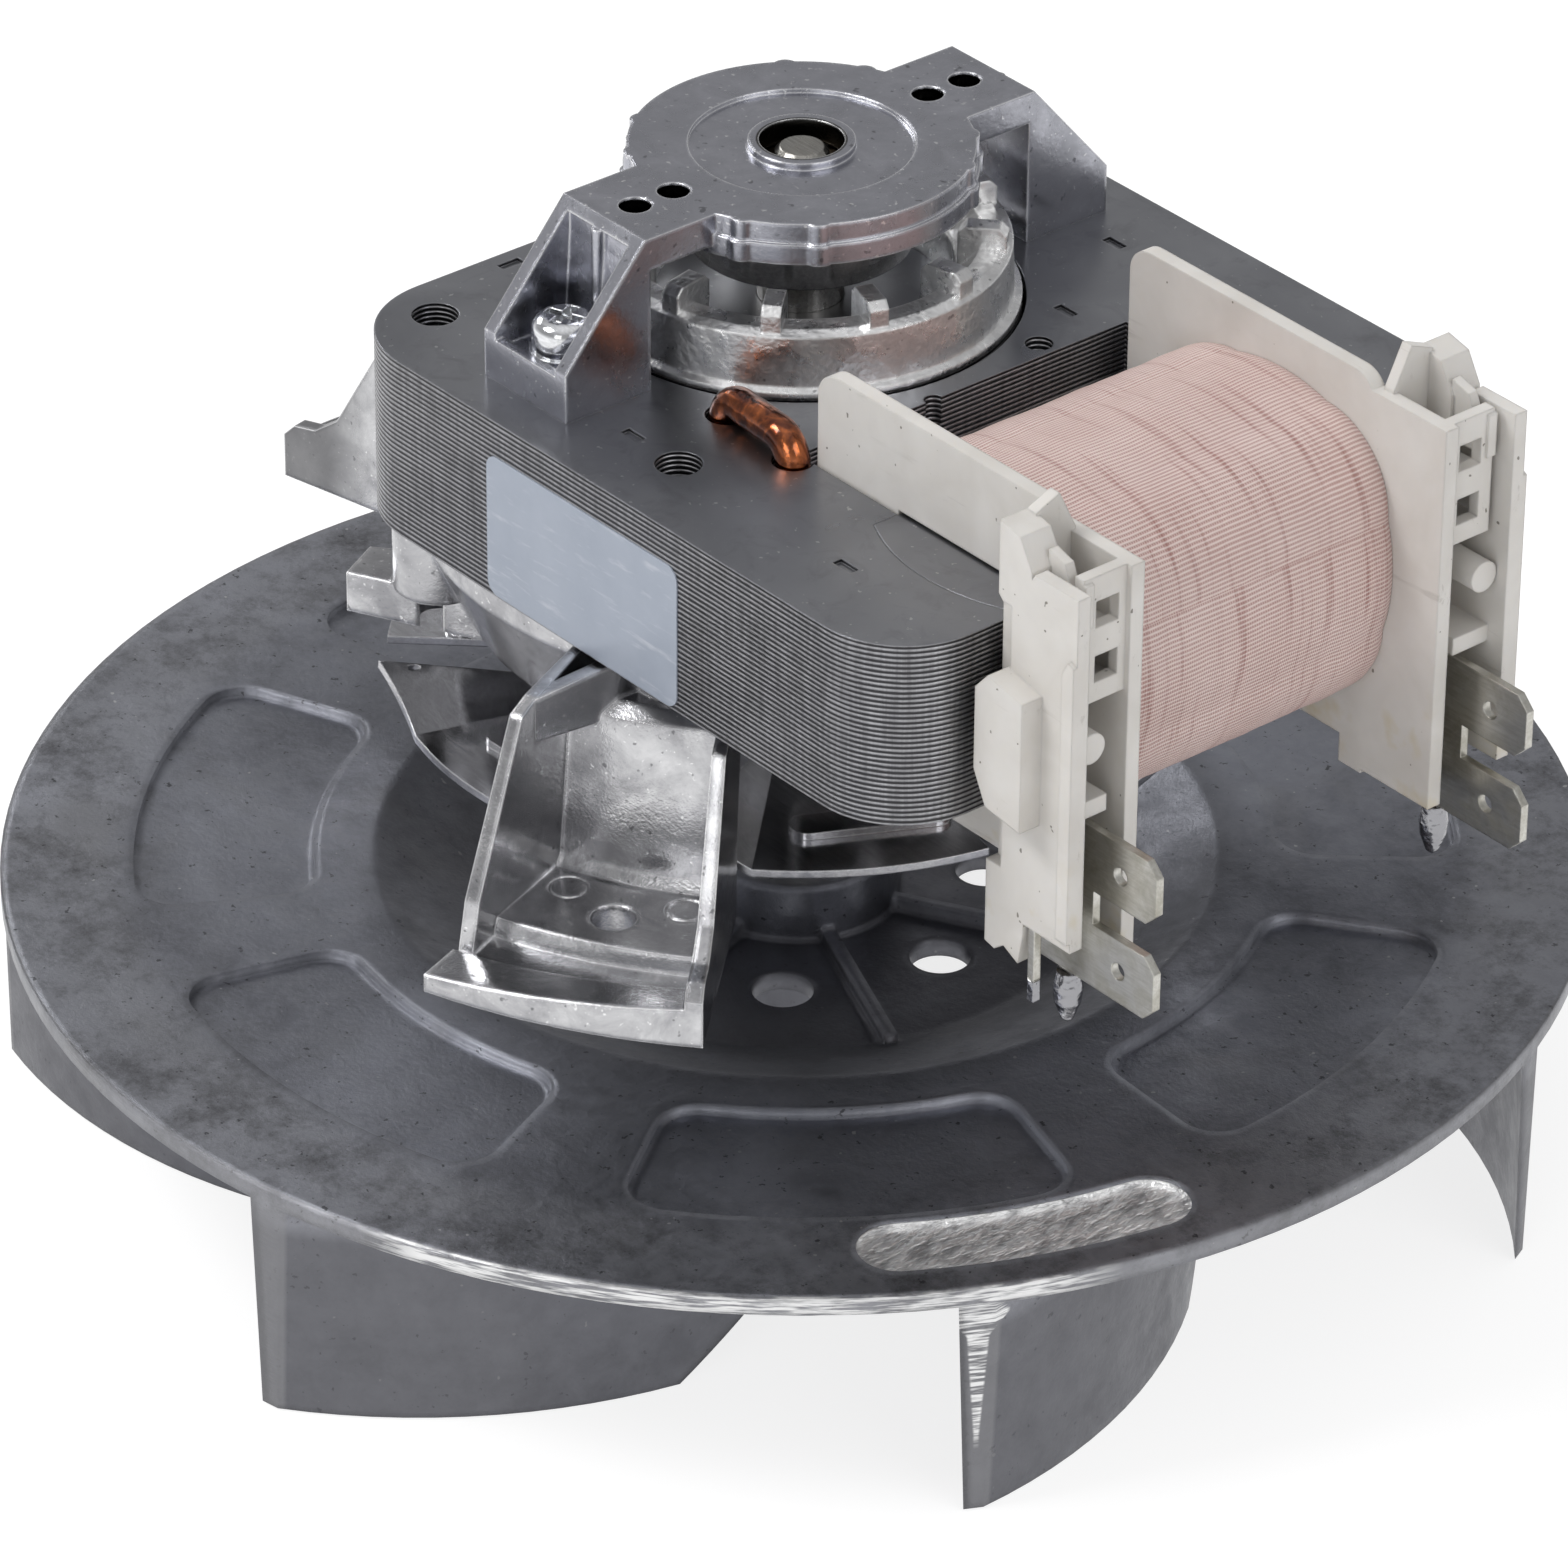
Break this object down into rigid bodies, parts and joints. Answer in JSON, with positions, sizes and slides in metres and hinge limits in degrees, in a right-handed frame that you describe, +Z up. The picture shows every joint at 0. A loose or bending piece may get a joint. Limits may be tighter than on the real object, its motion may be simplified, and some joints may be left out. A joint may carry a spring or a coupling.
{
  "type": "oven fan motor",
  "caption": "Shaded-pole fan motor for a hot-air oven, with cast mounting bracket, sheet cooling fan and bladed cast impeller on a long shaft.",
  "frame": {"origin": "on the shaft axis, in the plane of the impeller's blade tips", "axes": "+Z up the shaft, from the impeller to the top bracket; +X towards the coil; +Y completes the right-handed set"},
  "size_m": [0.15, 0.15, 0.0987],
  "materials": {
    "lamination": "sheared edges with fine lines, bright burnished faces",
    "cast_alloy": "rough bright die casting",
    "impeller_alloy": "mottled casting with a turned rim",
    "fan_sheet": "bright rolled sheet",
    "rotor_alloy": "pressure-cast, slightly rough",
    "shaft_steel": "ground",
    "zinc_steel": "bright zinc plate",
    "dark_steel": "oiled phosphate",
    "sintered": "oil-soaked sintered bronze",
    "felt": "oiled felt",
    "copper": "bare bright copper",
    "winding": "enamelled wire, pinkish red",
    "ivory_plastic": "glass-filled nylon, satin",
    "tinned": "tinned brass"
  },
  "bodies": {
    "stator": {"stator_stack": "lamination", "limb_core": "lamination", "shading_ring_front": "copper", "shading_ring_rear": "copper", "coil_bobbin": "ivory_plastic", "coil_winding": "winding", "terminal_near": "tinned", "terminal_far": "tinned", "winding_post_near": "tinned", "winding_post_far": "tinned", "top_bracket": "cast_alloy", "top_bearing": "sintered", "top_bearing_cap": "dark_steel", "top_felt": "felt", "lower_bracket": "cast_alloy", "lower_bearing": "sintered", "lower_bearing_cap": "dark_steel", "lower_felt": "felt", "bracket_screws": "zinc_steel", "spring_washers": "zinc_steel", "plain_washers": "zinc_steel"},
    "rotor": {"rotor_core": "lamination", "rotor_cage": "rotor_alloy", "shaft": "shaft_steel", "thrust_washer_top": "sintered", "thrust_washer_low": "sintered", "cooling_fan": "fan_sheet", "fan_bush": "cast_alloy", "impeller": "impeller_alloy", "nut_washer": "zinc_steel", "impeller_nut": "zinc_steel"}
  },
  "joints": [
    {"name": "rotor_spin", "type": "hinge", "parent": "stator", "child": "rotor", "pos_m": [0, 0, 0], "axis": [0, 0, 1], "continuous": true}
  ]
}
